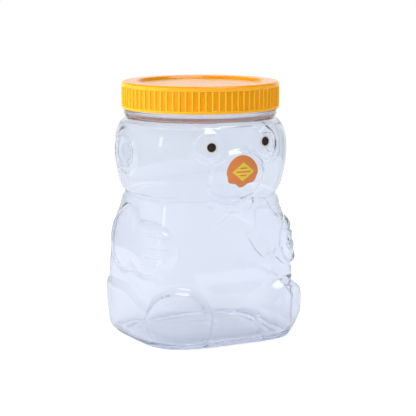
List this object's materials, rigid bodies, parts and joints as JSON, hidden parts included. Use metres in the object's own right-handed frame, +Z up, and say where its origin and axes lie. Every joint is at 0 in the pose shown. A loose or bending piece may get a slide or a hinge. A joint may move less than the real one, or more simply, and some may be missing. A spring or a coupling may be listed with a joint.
{
  "type": "bear-shaped food jar",
  "caption": "Clear blown plastic jar shaped as a seated bear, with a wide round neck, a ribbed orange screw lid, a sealing liner and vinyl eye and nose stickers.",
  "frame": {"origin": "on the plane the jar stands on, at the centre of the object's bounding box", "axes": "+Z up along the neck, the bear's face towards -Y, the bear's left side towards +X"},
  "size_m": [0.0996, 0.1, 0.148],
  "materials": {
    "clear_plastic": "clear, glossy, faint blue tint",
    "orange_plastic": "satin moulded plastic",
    "white_foam": "matte foam",
    "pale_vinyl": "satin vinyl",
    "black_vinyl": "glossy vinyl",
    "nose_vinyl": "satin printed vinyl"
  },
  "bodies": {
    "jar": {"jar_body": "clear_plastic", "left_eye_backing": "pale_vinyl", "left_eye_pupil": "black_vinyl", "right_eye_backing": "pale_vinyl", "right_eye_pupil": "black_vinyl", "nose_sticker": "nose_vinyl"},
    "liner": {"lid_liner": "white_foam"},
    "lid": {"screw_lid": "orange_plastic"}
  },
  "joints": [
    {"name": "lid_rise", "type": "slide", "parent": "jar", "child": "liner", "axis": [0, 0, 1], "range_m": [0, 0.0153]},
    {"name": "lid_turn", "type": "hinge", "parent": "liner", "child": "lid", "pos_m": [0, 0.0033, 0.1326], "axis": [0, 0, 1], "range_deg": [0, 1080]}
  ],
  "couplings": [
    {"joint": "lid_rise", "follows": "lid_turn", "m_per_rad": 0.00080851}
  ]
}
